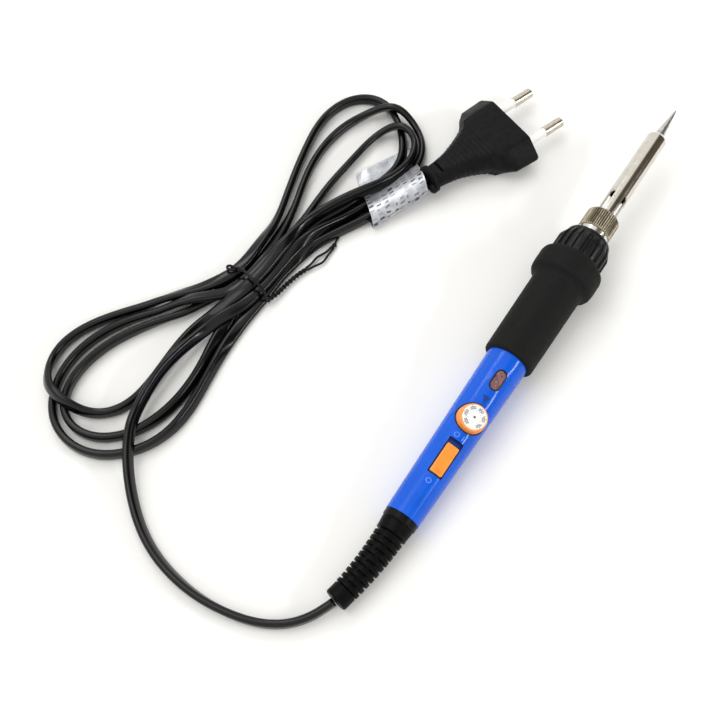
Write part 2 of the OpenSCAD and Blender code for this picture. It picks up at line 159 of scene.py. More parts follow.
def revolved(profile, sides):
    """The x, radius and angle of every point of a profile that is turned about the iron's axis."""
    x, r = (np.repeat(column, sides) for column in np.array(profile).T)
    return x, r, np.tile(full_turn(sides), len(profile))


def about_axis(x, r, angle):
    """Points round the iron's axis, with their angle measured from the dial's side."""
    return np.stack([x, -r * np.sin(angle), r * np.cos(angle)], axis=1)


def ramp_up(value, low, high):
    """0 below low and 1 above high, with a smooth rise."""
    t = np.clip((value - low) / (high - low), 0, 1)
    return t * t * (3 - 2 * t)


# ---------------------------------------------------------------- materials

def shader_tree(name):
    material = bpy.data.materials.new(name)
    material.use_nodes = True
    tree = material.node_tree
    return material, tree, tree.nodes["Principled BSDF"]


def noise(tree, scale, detail=3.0, rough=0.5):
    """A noise texture in object space, with its scale in turns per metre."""
    coords = tree.nodes.new("ShaderNodeTexCoord")
    node = tree.nodes.new("ShaderNodeTexNoise")
    node.inputs["Scale"].default_value = scale
    node.inputs["Detail"].default_value = detail
    node.inputs["Roughness"].default_value = rough
    tree.links.new(coords.outputs["Object"], node.inputs["Vector"])
    return node


GREY_LOW, GREY_HIGH = 0.35, 0.65  # most of a noise texture's values lie between these


def ramp(tree, source, low, high, first=GREY_LOW, last=GREY_HIGH):
    """Maps a grey value to the range from low to high."""
    node = tree.nodes.new("ShaderNodeMapRange")
    node.inputs["From Min"].default_value = first
    node.inputs["From Max"].default_value = last
    node.inputs["To Min"].default_value = low
    node.inputs["To Max"].default_value = high
    tree.links.new(source, node.inputs["Value"])
    return node.outputs["Result"]


def colour_mix(tree, source, first, second):
    """Maps a grey value to the colours from first to second."""
    node = tree.nodes.new("ShaderNodeValToRGB")
    node.color_ramp.elements[0].position = GREY_LOW
    node.color_ramp.elements[1].position = GREY_HIGH
    node.color_ramp.elements[0].color = (*first, 1)
    node.color_ramp.elements[1].color = (*second, 1)
    tree.links.new(source, node.inputs["Fac"])
    return node.outputs["Color"]


def product(tree, first, second):
    """Two grey values multiplied."""
    node = tree.nodes.new("ShaderNodeMath")
    node.operation = "MULTIPLY"
    tree.links.new(first, node.inputs[0])
    tree.links.new(second, node.inputs[1])
    return node.outputs[0]


def cover(tree, factor, colour, over):
    """Lays a plain colour over another one, as far as the factor says."""
    node = tree.nodes.new("ShaderNodeMix")
    node.data_type = "RGBA"
    tree.links.new(factor, node.inputs["Factor"])
    tree.links.new(colour, node.inputs["A"])
    node.inputs["B"].default_value = (*over, 1)
    return node.outputs["Result"]


def bump(tree, bsdf, source, strength, distance):
    node = tree.nodes.new("ShaderNodeBump")
    node.inputs["Strength"].default_value = strength
    node.inputs["Distance"].default_value = distance
    tree.links.new(source, node.inputs["Height"])
    tree.links.new(node.outputs["Normal"], bsdf.inputs["Normal"])


def surface(name, dark, light, rough=(0.3, 0.4), scale=900, metallic=0.0, grain=4000,
            grain_strength=0.15, grain_depth=0.00005, specular=0.5, detail=4.0, worn=None,
            transmission=0.0):
    """A surface with mottled colour and roughness, fine grain and, where worn, rubbed edges."""
    material, tree, bsdf = shader_tree(name)
    colour = colour_mix(tree, noise(tree, scale, detail).outputs["Fac"], dark, light)
    if worn:
        edges = tree.nodes.new("ShaderNodeNewGeometry").outputs["Pointiness"]
        scratches = noise(tree, scale * 3, 6.0, 0.7).outputs["Fac"]
        rubbed = product(tree, ramp(tree, edges, 0, 1, 0.51, 0.58),
                         ramp(tree, scratches, 0, 1, 0.4, 0.6))
        colour = cover(tree, rubbed, colour, worn)
    tree.links.new(colour, bsdf.inputs["Base Color"])
    smear = noise(tree, scale * 0.4, 5.0, 0.6)
    tree.links.new(ramp(tree, smear.outputs["Fac"], *rough), bsdf.inputs["Roughness"])
    bump(tree, bsdf, noise(tree, grain, 2.0).outputs["Fac"], grain_strength, grain_depth)
    bsdf.inputs["Metallic"].default_value = metallic
    bsdf.inputs["Specular IOR Level"].default_value = specular
    bsdf.inputs["Transmission Weight"].default_value = transmission
    return material


cord_skin = surface("cord_skin", (0.0015, 0.0015, 0.0018), (0.003, 0.003, 0.0034), (0.15, 0.22),
                    scale=300, grain=2600, grain_strength=0.06, specular=0.3)


# ---------------------------------------------------------------- cord

CORD_W, CORD_T = 4.7, 2.7
STEP = 1.5  # length between two rings of the cord
TIE_AT = (-34.0, 95.0)  # where the tie holds the hank together
DRAWN_T = 3.2  # the heights in HANK are drawn for a cord of this thickness

# Route of the cord: x, y, height of its middle, and how far it stands on edge, in mm.
LEAD = [
    (-114, 3, 4.3, 1), (-120, 5, 3.2, 1), (-126, 9, 2.5, 1), (-131, 15, 2.4, 1),
    (-134, 22, 2.4, 0.95), (-136, 31, 2.4, 0.9), (-137, 41, 2.4, 0.8), (-136, 51, 2.4, 0.7),
    (-134, 60, 2.4, 0.6), (-130, 69, 2.4, 0.5), (-126, 75, 2.7, 0.4), (-121, 81, 3.6, 0.3),
    (-116, 86, 5.2, 0.2), (-111, 90, 7.0, 0.1)]
HANK = [
    # over the lower left strands to the tie, then round the middle right loop
    (-106, 93.5, 7.4, 0.1), (-101, 96.5, 7.3, 0.1), (-95, 98.5, 7.0, 0.1),
    (-88, 100, 6.9, 0.1), (-79, 101, 6.9, 0.5), (-67, 100, 6.4, 0.5), (-56, 97.5, 5.4, 0.4),
    (-46, 94, 4.9, 0.2), (-35, 91, 4.8, 0), (-25, 90.5, 4.6, 0), (-12, 90.5, 3.6, 0.2),
    (0, 89, 3.0, 0.4), (11, 84.5, 3.4, 0.6), (23, 79.5, 3.9, 0.7), (33, 75.8, 3.9, 0.8),
    (42, 74.2, 3.9, 0.8), (50, 75.2, 3.4, 0.9), (56, 78.2, 3.2, 0.9), (60.8, 82.8, 3.6, 0.8),
    (64, 88.3, 5.0, 0.7), (64.6, 94.4, 6.4, 0.6), (62.8, 100, 6.4, 0.6), (58.4, 104.6, 4.8, 0.7),
    (51.5, 107.6, 3.4, 0.9), (42, 109.8, 2.8, 1), (31, 110, 2.7, 1), (18, 107.5, 2.7, 1),
    (4, 103, 2.5, 0.8), (-10, 100, 2.0, 0.4), (-22, 100, 1.7, 0), (-33, 100, 1.6, 0),
    # inner left loop
    (-41, 103, 1.7, 0), (-52, 109.5, 2.0, 0.4), (-64, 116, 2.5, 0.8), (-73, 120.5, 2.7, 1),
    (-82, 124, 2.7, 1), (-91, 125.5, 2.7, 1), (-99, 125.5, 2.7, 1), (-106, 123.5, 2.7, 1),
    (-111, 120, 2.7, 1), (-114, 115.5, 2.7, 1), (-115, 110.5, 2.7, 1), (-114, 105, 2.7, 1),
    (-111, 100, 2.7, 1), (-106.5, 95.5, 2.7, 1), (-100, 92, 2.7, 0.9), (-93, 89.5, 2.5, 0.7),
    (-84, 88.5, 2.2, 0.5), (-75, 88.7, 1.9, 0.3), (-66, 90.5, 1.7, 0.1), (-56, 93, 1.6, 0),
    (-45, 94.5, 1.6, 0), (-34, 95, 1.6, 0),
    # outer right loop: below the others on its way out, then back over the top
    (-18, 93, 1.7, 0), (-5, 91, 1.9, 0), (8, 88, 2.5, 0), (18, 84.5, 2.9, 0),
    (28, 81, 2.9, 0), (38, 79, 2.9, 0), (46, 80, 2.9, 0.1), (52, 84, 2.8, 0.3),
    (57.5, 88.5, 2.6, 0.6), (62, 93.5, 2.6, 0.8), (65, 99, 2.6, 0.9), (66, 105, 2.7, 1),
    (63.5, 111, 2.7, 1), (58, 115.5, 2.7, 1), (50, 118, 2.7, 1), (41, 118, 2.7, 1),
    (30, 115.5, 2.7, 1), (18, 112, 2.7, 1), (5, 107.5, 3.0, 0.9), (-8, 103, 3.8, 0.6),
    (-21, 101.5, 4.6, 0.2), (-33, 101, 4.8, 0),
    # uppermost left loop: outside at first, then over the two others to their inside
    (-38, 103, 4.9, 0), (-47, 109, 5.2, 0.2), (-55, 114.5, 5.4, 0.5), (-62, 120, 5.0, 0.8),
    (-69, 126, 3.8, 1), (-77, 132, 2.8, 1), (-85, 136, 2.7, 1), (-93, 137.5, 3.4, 1),
    (-100, 136, 4.8, 0.9), (-105, 132.5, 6.4, 0.7), (-108.5, 127.5, 7.6, 0.6),
    (-110, 122, 7.7, 0.6), (-109.5, 116, 6.6, 0.8), (-107, 110, 4.8, 0.9),
    (-103, 105, 3.3, 1), (-97.5, 101.5, 2.8, 0.9), (-90, 100, 2.6, 0.8), (-81, 100, 2.6, 0.7),
    (-70, 101, 3.0, 0.5), (-59, 101, 4.4, 0.2), (-47, 98, 6.8, 0), (-34, 94.5, 8.0, 0),
    # inner right loop, flat on the others
    (-22, 92.5, 7.8, 0), (-10, 92, 6.6, 0), (1, 91.5, 5.6, 0), (10, 88, 5.8, 0),
    (20, 84, 6.1, 0), (29, 80, 6.1, 0), (37, 76.6, 6.2, 0), (43, 75.2, 6.4, 0.1),
    (49, 75.2, 6.8, 0.3), (54.4, 77.4, 7.2, 0.5), (58, 81.8, 7.4, 0.6), (59, 87, 7.2, 0.6),
    (57.2, 91.8, 6.4, 0.6), (53, 95.2, 5.0, 0.5), (46.5, 96.6, 3.6, 0.3), (38, 96.9, 2.4, 0.2),
    (30, 97.3, 1.9, 0.1), (20, 97.8, 1.9, 0.2), (10, 97, 2.2, 0.3), (-1, 96, 3.0, 0.2),
    (-12, 95.5, 4.2, 0), (-22, 96, 4.8, 0), (-34, 96, 4.8, 0),
    # outer left loop, to the lower edge of the hank
    (-44, 101.5, 4.9, 0.1), (-53, 109.5, 4.8, 0.3), (-62, 117.5, 3.9, 0.6),
    (-71, 124, 3.0, 0.9), (-80, 128.5, 2.7, 1), (-88, 130.5, 2.7, 1), (-96, 131, 2.7, 1),
    (-104, 129.5, 2.7, 1), (-111, 126, 2.7, 1), (-116, 121, 2.7, 1), (-119, 115, 2.7, 1),
    (-120, 108, 2.7, 1), (-119, 101.5, 2.7, 1), (-116, 96, 2.7, 1), (-111, 90.5, 2.7, 1),
    (-105, 86.5, 2.7, 1), (-98, 84, 2.6, 0.9), (-90, 83.5, 2.4, 0.7), (-80, 85, 2.1, 0.4),
    (-69, 87.5, 1.8, 0.2), (-57, 89.8, 1.6, 0), (-46, 90.6, 1.6, 0), (-35, 90.5, 1.6, 0),
    (-25, 90, 1.7, 0), (-14, 88.6, 2.1, 0.4)]
TAIL = [
    (-4, 86, 2.4, 0.9), (4, 82, 2.4, 1), (12, 78, 2.5, 1), (20, 74.5, 2.9, 1),
    (27, 71.5, 3.9, 1), (34, 68.3, 5.6, 1), (40.3, 65.3, 6.8, 1)]


def spline(points, step):
    """A smooth curve through the points, as samples an even step apart."""
    p = np.array(points, float)
    p = np.vstack([2 * p[0] - p[1], p, 2 * p[-1] - p[-2]])
    knots = np.concatenate([[0], np.cumsum(np.linalg.norm(np.diff(p[:, :3], axis=0), axis=1) ** 0.5)])
    dense = []
    for i in range(1, len(p) - 2):
        t0, t1, t2, t3 = knots[i - 1:i + 3]
        t = np.linspace(t1, t2, 24, endpoint=False)[:, None]
        a1 = (t1 - t) / (t1 - t0) * p[i - 1] + (t - t0) / (t1 - t0) * p[i]
        a2 = (t2 - t) / (t2 - t1) * p[i] + (t - t1) / (t2 - t1) * p[i + 1]
        a3 = (t3 - t) / (t3 - t2) * p[i + 1] + (t - t2) / (t3 - t2) * p[i + 2]
        b1 = (t2 - t) / (t2 - t0) * a1 + (t - t0) / (t2 - t0) * a2
        b2 = (t3 - t) / (t3 - t1) * a2 + (t - t1) / (t3 - t1) * a3
        dense.append((t2 - t) / (t2 - t1) * b1 + (t - t1) / (t2 - t1) * b2)
    dense = np.vstack(dense + [p[-2:-1]])
    run = np.concatenate([[0], np.cumsum(np.linalg.norm(np.diff(dense[:, :3], axis=0), axis=1))])
    even = np.linspace(0, run[-1], int(round(run[-1] / step)) + 1)
    return np.stack([np.interp(even, run, dense[:, c]) for c in range(dense.shape[1])], axis=1)


def blur(values, passes):
    """Smooths rows of values along the cord and leaves its two ends where they are."""
    for _ in range(passes):
        inner = 0.25 * values[:-2] + 0.5 * values[1:-1] + 0.25 * values[2:]
        values = np.concatenate([values[:1], inner, values[-1:]])
    return values


def half_sizes(edge):
    """Half of the cord's width as seen from above, and half of its height."""
    flat = (CORD_W - CORD_T) / 2
    return (CORD_T / 2 + flat * np.cos(np.pi / 2 * edge),
            CORD_T / 2 + flat * np.sin(np.pi / 2 * edge))


HELD_START, HELD_END, EASE = 95, 60, 15  # ends that stay as drawn, and the length of their easing
SAME_STRAND = 14  # points nearer than this along the cord never push each other
SQUARENESS = 2.4  # power of the outline that pushes; 2 is an ellipse
PUSH, SIDE_SHARE = 1.6, 0.35  # per overlap, and the part of it that goes sideways
SINK, FLOOR_GAP = 0.03, 0.03  # fall in each round, and the least gap under the cord


def settle(route, rounds=160):
    """Moves strands that share the same space apart, and lets them rest on each other."""
    rest = route[:, :3].copy()
    half_w, half_h = half_sizes(route[:, 3])
    along = np.arange(len(rest)) * STEP
    apart = np.triu(np.abs(along[:, None] - along[None, :]) > SAME_STRAND)
    free = np.clip(np.minimum((along - HELD_START) / EASE,
                              (along[-1] - along - HELD_END) / EASE), 0, 1)[:, None]
    moved = np.zeros_like(rest)
    for turn in range(rounds):
        place = rest + moved
        plan = np.linalg.norm(place[:, None, :2] - place[None, :, :2], axis=2)
        i, j = np.nonzero(apart & (plan < CORD_W * 1.02))
        gap = place[i] - place[j]
        flat = np.linalg.norm(gap[:, :2], axis=1)
        wide, high = flat / (half_w[i] + half_w[j]), np.abs(gap[:, 2]) / (half_h[i] + half_h[j])
        inside = 1 - (wide ** SQUARENESS + high ** SQUARENESS) ** (1 / SQUARENESS)
        hit = inside > 0
        i, j, gap, flat, inside = i[hit], j[hit], gap[hit], flat[hit], inside[hit]
        side = gap[:, :2] / np.maximum(flat, 0.3)[:, None] * SIDE_SHARE
        rise = np.where(gap[:, 2:] >= 0, 1.0, -1.0)
        push = np.hstack([side, rise]) * (inside * PUSH)[:, None]
        total, hits = np.zeros_like(rest), np.zeros(len(rest))
        for strand, way in ((i, 1), (j, -1)):
            np.add.at(total, strand, way * push)
            np.add.at(hits, strand, 1)
        moved += total / np.maximum(hits, 1)[:, None]
        moved[:, 2] = np.maximum(moved[:, 2] - SINK, half_h + FLOOR_GAP - rest[:, 2])
        if turn < rounds - 8:
            moved = blur(moved, 3)
        moved *= free
    return rest + moved


def flat_tube(middle, edge, sides=20):
    """Points and faces of the cord: a stadium that stands upright where edge is 1."""
    heading = unit_rows(np.gradient(middle, axis=0))
    left = unit_rows(np.stack([-heading[:, 1], heading[:, 0], np.zeros(len(middle))], axis=1))
    up = np.cross(heading, left)
    angle = (np.radians(90) * edge)[:, None]
    long_way = np.cos(angle) * left + np.sin(angle) * up
    short_way = -np.sin(angle) * left + np.cos(angle) * up
    turn = full_turn(sides) + np.pi / sides
    across = CORD_T / 2 * np.cos(turn) + np.sign(np.cos(turn)) * (CORD_W - CORD_T) / 2
    over = CORD_T / 2 * np.sin(turn)
    rings = (middle[:, None, :] + across[None, :, None] * long_way[:, None, :]
             + over[None, :, None] * short_way[:, None, :])
    return rings.reshape(-1, 3), capped_faces(len(middle), sides)


hank = [(x, y, z * CORD_T / DRAWN_T, edge) for x, y, z, edge in HANK]
route = spline(LEAD + hank + TAIL, STEP)
# Away from the tie the cord stands at least partly on edge
off_tie = ramp_up(np.hypot(route[:, 0] - TIE_AT[0], route[:, 1] - TIE_AT[1]), 12, 36)
route[:, 3] = np.clip(blur(np.maximum(route[:, 3], 0.7 * off_tie), 12), 0, 1)
route[:, :3] = blur(settle(route), 24)
middle = blur(settle(route, rounds=60), 7)
edge = route[:, 3]
middle[:, 2] = np.maximum(middle[:, 2], half_sizes(edge)[1] + 0.02)
cord = make_object("flex_cord", *flat_tube(middle, edge), cord_skin)
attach(cord, "handle")
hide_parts("cord_lead", "cord_hank", "cord_tail")


# ---------------------------------------------------------------- plug

PLUG_AT, PLUG_TURN, PLUG_MID = (79.0, 52.0), math.radians(-19), 6.85


def in_plug(points):
    """The plug's own frame: its face is at x = 0, and its pins point along +x."""
    p = np.asarray(points, float)
    c, s = math.cos(PLUG_TURN), math.sin(PLUG_TURN)
    return np.stack([PLUG_AT[0] + p[:, 0] * c - p[:, 1] * s,
                     PLUG_AT[1] + p[:, 0] * s + p[:, 1] * c, PLUG_MID + p[:, 2]], axis=1)


def plug_ring(x, w, f, h, m, cut):
    """An eight-sided ring at x with rounded corners and extra points on its top and base."""
    corners = [(w, -m), (w, m), (f, h), (-f, h), (-w, m), (-w, -m), (-f, -h), (f, -h)]
    ring = []
    for k in range(8):
        before, here, after = (np.array(corners[(k + j) % 8], float) for j in (-1, 0, 1))
        back, ahead = before - here, after - here
        reach = min(cut, 0.4 * np.linalg.norm(back), 0.4 * np.linalg.norm(ahead))
        first = here + back / np.linalg.norm(back) * reach
        last = here + ahead / np.linalg.norm(ahead) * reach
        ring += [first, 0.25 * first + 0.5 * here + 0.25 * last, last]
        if k in (2, 6):
            stop = after - ahead / np.linalg.norm(ahead) * reach
            ring += [last + (stop - last) * j / 11 for j in range(1, 11)]
    return [(x, y, z) for y, z in ring]


# Stations of the body: x, half width, half width of its flat top, half height
PLUG_STATIONS = np.array([
    (0, 17.65, 11.0, 6.85), (-10.5, 17.1, 10.8, 6.85), (-13.6, 14.8, 10.7, 6.85),
    (-15.3, 12.6, 10.6, 6.85), (-17, 11.0, 8.4, 6.6), (-20, 9.5, 6.8, 6.3),
    (-24, 7.9, 5.2, 5.9), (-28, 6.5, 4.0, 5.5), (-31, 5.7, 3.4, 5.25), (-35, 5.0, 2.9, 4.9),
    (-38.8, 4.7, 2.7, 4.6)])
FRONT_ROUND = 0.7
GROOVE_X, GROOVE_DEPTH = -15.9, 0.4
RIDGES_FROM, RIDGES_TO, RIDGE_PITCH = -16.6, -32.2, 1.95
NOTCH_FROM, NOTCH_TO, NOTCH_HALF, NOTCH_DEPTH = -35.8, -36.8, 2.3, 1.3


def plug_station(x):
    """The body's ring at x, with its rounded front, groove, ribs of the waist and notch."""
    w, f, h = (np.interp(-x, -PLUG_STATIONS[:, 0], column) for column in PLUG_STATIONS[:, 1:].T)
    inset = ridge = 0.0
    if x > -FRONT_ROUND:
        inset = FRONT_ROUND - math.sqrt(max(0.0, FRONT_ROUND ** 2 - (FRONT_ROUND + x) ** 2))
    if RIDGES_TO < x < RIDGES_FROM:
        ridge = 0.5 - 0.5 * math.cos(2 * math.pi * (x - RIDGES_FROM) / RIDGE_PITCH)
    groove = GROOVE_DEPTH * math.exp(-((x - GROOVE_X) / 0.4) ** 2)
    ring = plug_ring(x, w - inset - 0.22 * ridge, f - inset, h - inset - 0.32 * ridge - groove,
                     1.0, 0.8)
    if NOTCH_TO < x < NOTCH_FROM:
        ring = [(px, py, pz - NOTCH_DEPTH if pz > 3.8 and abs(py) < NOTCH_HALF else pz)
                for px, py, pz in ring]
    return ring


plug_x = sorted(set([0, -0.25, -0.7] + [round(v, 2) for v in np.arange(-1.5, -15, -1.5)]
                    + [-15.1, -15.3, -15.6] + [round(v, 2) for v in np.arange(-16, -35.6, -0.35)]
                    + [-35.75, -35.85, -36.3, -36.75, -36.85, -37.4, -38.2, -38.8]), reverse=True)
plug_rings = [plug_station(x) for x in plug_x]
# The end plate, where the cord comes out
for x, grow in ((-39.3, 0.0), (-39.35, 0.8), (-39.6, 1.1), (-40.9, 1.1), (-41.15, 0.8)):
    plug_rings.append(plug_ring(x, 4.5 + grow, 2.6 + 0.5 * grow, 4.3 + grow, 1.6, 1.6))
plug_verts = [p for ring in plug_rings for p in ring]
faces = capped_faces(len(plug_rings), len(plug_rings[0]))
# The round pip at the corner of the end plate
PIP_RINGS = [(-40.4, 1.2), (-40.9, 1.75), (-41.6, 2.0), (-42.3, 1.8), (-42.8, 1.25), (-43.0, 0.5)]
PIP_SIDES = 20
faces += capped_faces(len(PIP_RINGS), PIP_SIDES, start=len(plug_verts))
plug_verts += [(x, -3.9 + r * math.cos(a), -0.6 + r * math.sin(a))
               for x, r in PIP_RINGS for a in full_turn(PIP_SIDES)]
plug_plastic = surface("plug_plastic", (0.006, 0.006, 0.007), (0.009, 0.009, 0.0105), (0.42, 0.55),
                       scale=500, grain=5200, grain_strength=0.35, grain_depth=0.00004,
                       specular=0.08)
plug = make_object("plug_moulding", in_plug(plug_verts), faces, plug_plastic, crease=28)
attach(plug, "handle")
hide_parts("plug_body")


# ---------------------------------------------------------------- rating tag

def tag_film():
    """Silver film with rows of plain dark bars on its printed part."""
    material, tree, bsdf = shader_tree("tag_film")
    grey = colour_mix(tree, noise(tree, 260, 5.0).outputs["Fac"], (0.33, 0.35, 0.38),
                      (0.52, 0.53, 0.56))
    where = tree.nodes.new("ShaderNodeUVMap")
    bars = tree.nodes.new("ShaderNodeTexBrick")
    bars.inputs["Scale"].default_value = 1.0
    bars.inputs["Mortar Size"].default_value = 0.028
    bars.inputs["Brick Width"].default_value = 0.09
    bars.inputs["Row Height"].default_value = 0.14
    bars.inputs["Color1"].default_value = (1, 1, 1, 1)
    bars.inputs["Color2"].default_value = (0.55, 0.55, 0.55, 1)
    bars.inputs["Mortar"].default_value = (0, 0, 0, 1)
    tree.links.new(where.outputs["UV"], bars.inputs["Vector"])
    broken = tree.nodes.new("ShaderNodeTexNoise")
    broken.inputs["Scale"].default_value = 5.0
    tree.links.new(where.outputs["UV"], broken.inputs["Vector"])
    place = tree.nodes.new("ShaderNodeSeparateXYZ")
    tree.links.new(where.outputs["UV"], place.inputs["Vector"])
    printed = product(tree, ramp(tree, broken.outputs["Fac"], 0, 0.95, 0.40, 0.46),
                      ramp(tree, place.outputs["X"], 1, 0, 2.16, 2.18))
    ink = product(tree, ramp(tree, bars.outputs["Color"], 0, 1, 0.5, 0.9), printed)
    tree.links.new(cover(tree, ink, grey, (0.05, 0.05, 0.055)), bsdf.inputs["Base Color"])
    tree.links.new(ramp(tree, noise(tree, 150, 4.0).outputs["Fac"], 0.22, 0.4),
                   bsdf.inputs["Roughness"])
    bsdf.inputs["Metallic"].default_value = 0.55
    bump(tree, bsdf, noise(tree, 320, 3.0).outputs["Fac"], 0.25, 0.0004)
    return material


TAG_BACK, TAG_LEN, TAG_T = 0.6, 25.0, 0.16  # start along the cord from the plug, length, film
TAG_SKEW, TAG_SKEW_AT = 0.32, 4.0  # slope of its short edges, and where across it they pivot
TAG_ROWS, TAG_COLS = 34, 84
PRINT_SIZE = (2.6, 1.1)  # of the print's pattern on the whole sheet


def tag_section(mid, wave):
    """The film round a cord whose middle is at height mid: lower flap, fold, and upper flap."""
    under = max(0.3, mid - 2.9)
    return [(20.5, 0.35), (14, 0.3), (8, 0.3), (4, 0.35), (1.6, min(under, 0.5) + 0.1), (0, under),
            (-2.6, max(0.5, mid - 2.6)), (-4.1, mid - 1.5), (-4.9, mid - 0.4), (-4.8, mid + 0.4),
            (-3.8, mid + 1.7), (-2, mid + 2.6), (0, mid + 2.8), (2.6, mid + 2.5),
            (5.4, 0.82 * mid + 2.1), (8.2, 0.6 * mid + 1.8), (11, 0.3 * mid + 1.7 + 0.3 * wave),
            (14, 1.6 + 0.5 * wave), (17, 1.3 + 0.4 * wave), (20.5, 1.2 + 0.3 * abs(wave))]


from_plug = middle[::-1]
along = np.concatenate([[0], np.cumsum(np.linalg.norm(np.diff(from_plug, axis=0), axis=1))])
tag_rows = []
for back in np.linspace(TAG_BACK, TAG_BACK + TAG_LEN, TAG_ROWS):
    here, behind = (np.array([np.interp(at, along, from_plug[:, c]) for c in range(3)])
                    for at in (back, back + 2))
    ahead = here - behind
    ahead /= np.linalg.norm(ahead[:2])
    wave = 0.35 * math.sin(back * 0.42) + 0.2 * math.sin(back * 0.9 + 1)
    curve = spline([(v, z, 0, 0) for v, z in tag_section(here[2], wave)], 0.6)
    curve = curve[np.linspace(0, len(curve) - 1, TAG_COLS).round().astype(int)]
    tag_rows.append([[here[0] - ahead[1] * v + ahead[0] * TAG_SKEW * (v - TAG_SKEW_AT),
                      here[1] + ahead[0] * v + ahead[1] * TAG_SKEW * (v - TAG_SKEW_AT),
                      max(z, 0.25)] for v, z in curve[:, :2]])
tag = shell("rating_label", np.array(tag_rows), TAG_T, tag_film())
layer = tag.data.uv_layers.new(name="print")
for corner in tag.data.loops:
    row, col = divmod(corner.vertex_index % (TAG_ROWS * TAG_COLS), TAG_COLS)
    layer.data[corner.index].uv = (col / (TAG_COLS - 1) * PRINT_SIZE[0],
                                   row / (TAG_ROWS - 1) * PRINT_SIZE[1])
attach(tag, "handle")
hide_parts("rating_tag")


# ---------------------------------------------------------------- twist tie

tie_skin = surface("tie_plastic", (0.004, 0.004, 0.004), (0.008, 0.008, 0.008), (0.3, 0.45),
                   scale=900, specular=0.2)
TIE_TURN = math.radians(-12)
tie_loop = [(-6.0, 0.7), (-8.0, 1.4), (-8.4, 3.6), (-7.4, 6.2), (-4.8, 8.2), (-1.0, 9.4),
            (3.3, 8.7), (7.2, 7.3), (8.7, 4.9), (8.5, 2.0), (6.0, 0.7), (0, 0.65)]
tie_loop = spline([(y, z, 0, 0) for y, z in tie_loop + tie_loop[:2]], 0.4)[:, :2]
ring_points = [(TIE_AT[0] - math.sin(TIE_TURN) * y + 0.25 * math.sin(z),
                TIE_AT[1] + math.cos(TIE_TURN) * y, z) for y, z in tie_loop]
tie_ring = tube("tie_ring", ring_points, 0.52, tie_skin)
# The knot where the wire's end stands out at the far side
knob = [(-33.0, 103.0, 5.6), (-34.0, 104.2, 6.0), (-34.4, 105.6, 6.1), (-33.4, 106.4, 5.7),
        (-32.3, 105.6, 5.1), (-32.3, 104.2, 4.6)]
tie_knob = tube("tie_knob", spline([(*p, 0) for p in knob], 0.3)[:, :3], 0.5, tie_skin)
# Two wires twisted round each other, then an eye, then one wire's end
TIE_STEP, TWISTS = 0.3, 6
tie_path = spline([(-35.7, 86.7, 2.8, 0), (-31, 85.7, 2.1, 0), (-26, 85.3, 1.8, 0),
                   (-20, 84.3, 1.6, 0), (-13, 82.2, 1.4, 0), (-7.5, 81, 1.3, 0),
                   (-2, 80.6, 1.2, 0), (2.5, 80.8, 1.2, 0)], TIE_STEP)[:, :3]
travel = np.arange(len(tie_path)) * TIE_STEP
total = travel[-1]
ahead = unit_rows(np.gradient(tie_path, axis=0))
across = np.stack([-ahead[:, 1], ahead[:, 0], np.zeros(len(ahead))], axis=1)
spread = 0.5 + 1.0 * np.exp(-((travel - 0.68 * total) / 3.2) ** 2)
phase = (2 * np.pi * TWISTS * np.clip(travel / (0.52 * total), 0, 1)
         + 2 * np.pi * ramp_up(travel, 0.84 * total, 0.95 * total))
offset = (np.cos(phase)[:, None] * across * spread[:, None]
          + np.sin(phase)[:, None] * np.array([0, 0, 0.5]))
tie_wires = []
for name, side, stop in (("tie_wire_a", 1, total), ("tie_wire_b", -1, total - 3.5)):
    tie_wires.append(tube(name, (tie_path + side * offset)[travel <= stop], 0.46, tie_skin))
tie_pieces = [tie_ring, tie_knob, *tie_wires]
for piece in tie_pieces:
    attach(piece, "handle")
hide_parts("twist_tie")


# ---------------------------------------------------------------- ring nut

NUT_RIBS, RIB_CUT = 20, 0.85


def nut_radius(x, r, a):
    """Grooves between the nut's ribs, which end before its smooth front lip."""
    groove = ramp_up(0.5 - 1.1 * np.cos(NUT_RIBS * a), 0, 1)
    depth = RIB_CUT * np.clip((r - 8.55) / 0.9, 0, 1) * (1 - ramp_up(x, 44.0, 44.9))
    return r - depth * groove


nut_profile = ([(34.5, 8.35), (34.5, 9.75), (34.62, 10.05), (34.9, 10.2)]
               + [(x, 10.2) for x in (36, 37.5, 39, 40.5, 41.3)]
               + [(41.7, 10.1), (42.3, 9.86), (43.0, 9.55), (43.6, 9.28), (44.1, 9.06), (44.5, 8.9),
                  (44.9, 8.75), (45.3, 8.66), (45.7, 8.55), (46.0, 8.35), (46.15, 8.1), (46.2, 7.8),
                  (46.2, 6.55), (45.05, 6.55), (45.05, 8.35)])
nut_sides = NUT_RIBS * 16
nut_x, nut_r, nut_a = revolved(nut_profile, nut_sides)
nut = make_object("ribbed_nut", in_iron(about_axis(nut_x, nut_radius(nut_x, nut_r, nut_a), nut_a)),
                  grid_faces(len(nut_profile), nut_sides, close_rows=True),
                  surface("nut_plastic", (0.004, 0.004, 0.0045), (0.0075, 0.0075, 0.008),
                          (0.3, 0.45), scale=700, specular=0.2, grain=6000,
                          worn=(0.03, 0.03, 0.03)), crease=50)
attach(nut, "ring_nut")
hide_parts("ring_nut")


# ---------------------------------------------------------------- sleeve nut

